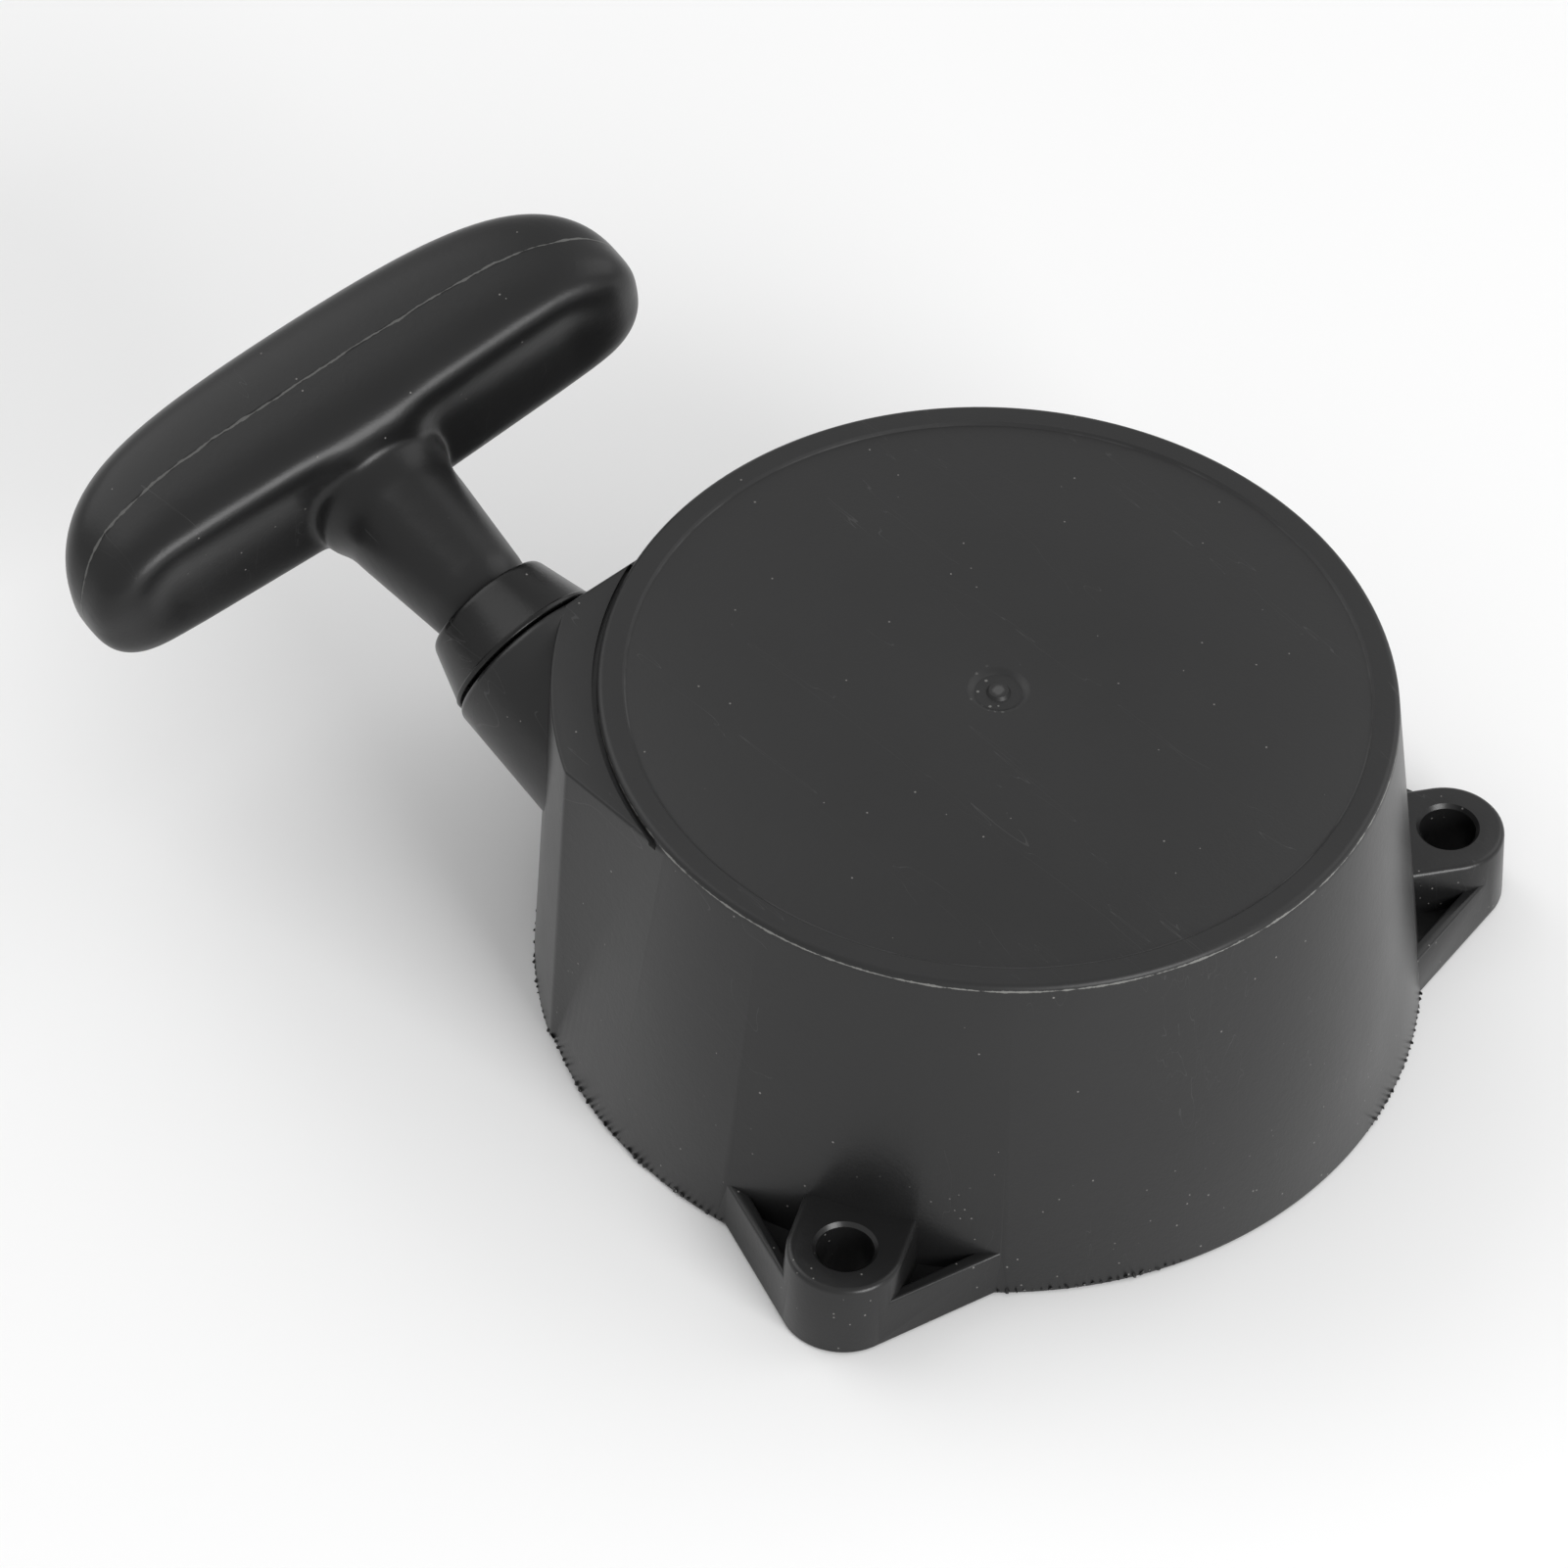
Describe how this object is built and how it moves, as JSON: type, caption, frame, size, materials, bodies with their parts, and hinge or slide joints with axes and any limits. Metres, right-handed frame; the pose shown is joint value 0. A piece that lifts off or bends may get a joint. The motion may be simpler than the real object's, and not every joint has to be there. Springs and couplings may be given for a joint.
{
  "type": "recoil starter",
  "caption": "Pull starter for a small engine: a black moulded cup with mounting ears, an angled rope outlet with a guide, and a T-handle on a sprung rope reel.",
  "frame": {"origin": "middle of the whole object's box, on the mounting plane under the cup", "axes": "+Z along the reel's axis, out of the cup's closed end; the rope is pulled towards -X; +Y along the handle's grip"},
  "size_m": [0.1548, 0.1272, 0.0632],
  "materials": {
    "black_nylon": "moulded satin",
    "grip_plastic": "moulded satin",
    "guide_plastic": "semi-gloss",
    "reel_plastic": "moulded satin",
    "braided_rope": "braided polyester",
    "plated_steel": "zinc plated",
    "spring_steel": "blued",
    "insert_brass": "machined",
    "hardened_steel": "sintered"
  },
  "bodies": {
    "casing": {"casing": "black_nylon", "post_insert": "insert_brass", "rope_guide": "guide_plastic", "rope_lead": "braided_rope", "spring_case": "plated_steel", "recoil_spring": "spring_steel", "spring_cover": "plated_steel", "cover_screw_1": "plated_steel", "cover_screw_2": "plated_steel", "cover_screw_3": "plated_steel", "retainer_washer": "plated_steel", "centre_screw": "plated_steel", "friction_spring": "spring_steel"},
    "rope_end": {"rope_throat": "braided_rope"},
    "handle": {"pull_handle": "grip_plastic", "handle_washer": "plated_steel", "handle_knot": "braided_rope", "rope_tail": "braided_rope"},
    "reel": {"reel": "reel_plastic", "rope_winding": "braided_rope", "reel_knot": "braided_rope", "pawl_pin_1": "hardened_steel", "pawl_pin_2": "hardened_steel"},
    "pawl_plate": {"pawl_plate": "plated_steel"},
    "pawl_1": {"pawl_1": "hardened_steel"},
    "pawl_2": {"pawl_2": "hardened_steel"}
  },
  "joints": [
    {"name": "handle_pull", "type": "slide", "parent": "casing", "child": "rope_end", "axis": [-0.9444, 0, 0.3289], "range_m": [0, 0.8], "stiffness_N_per_m": 19, "springref_m": -0.5},
    {"name": "handle_tilt", "type": "hinge", "parent": "rope_end", "child": "handle", "pos_m": [-0.03542, -0.02652, 0.04015], "axis": [0, 1, 0], "range_deg": [0, 13.5]},
    {"name": "reel_spin", "type": "hinge", "parent": "casing", "child": "reel", "pos_m": [0.0231, 0.00488, 0.03], "axis": [0, 0, 1], "range_deg": [-1700, 0]},
    {"name": "plate_turn", "type": "hinge", "parent": "reel", "child": "pawl_plate", "pos_m": [0.0231, 0.00488, 0.021], "axis": [0, 0, 1], "range_deg": [0, 20]},
    {"name": "pawl_1_swing", "type": "hinge", "parent": "reel", "child": "pawl_1", "pos_m": [0.0231, 0.02338, 0.023], "axis": [0, 0, 1], "range_deg": [0, 25]},
    {"name": "pawl_2_swing", "type": "hinge", "parent": "reel", "child": "pawl_2", "pos_m": [0.0231, -0.01362, 0.023], "axis": [0, 0, 1], "range_deg": [0, 25]}
  ],
  "couplings": [
    {"joint": "reel_spin", "follows": "handle_pull", "rad_per_m": -35.842},
    {"joint": "pawl_1_swing", "follows": "plate_turn", "ratio": 1.25},
    {"joint": "pawl_2_swing", "follows": "plate_turn", "ratio": 1.25}
  ]
}
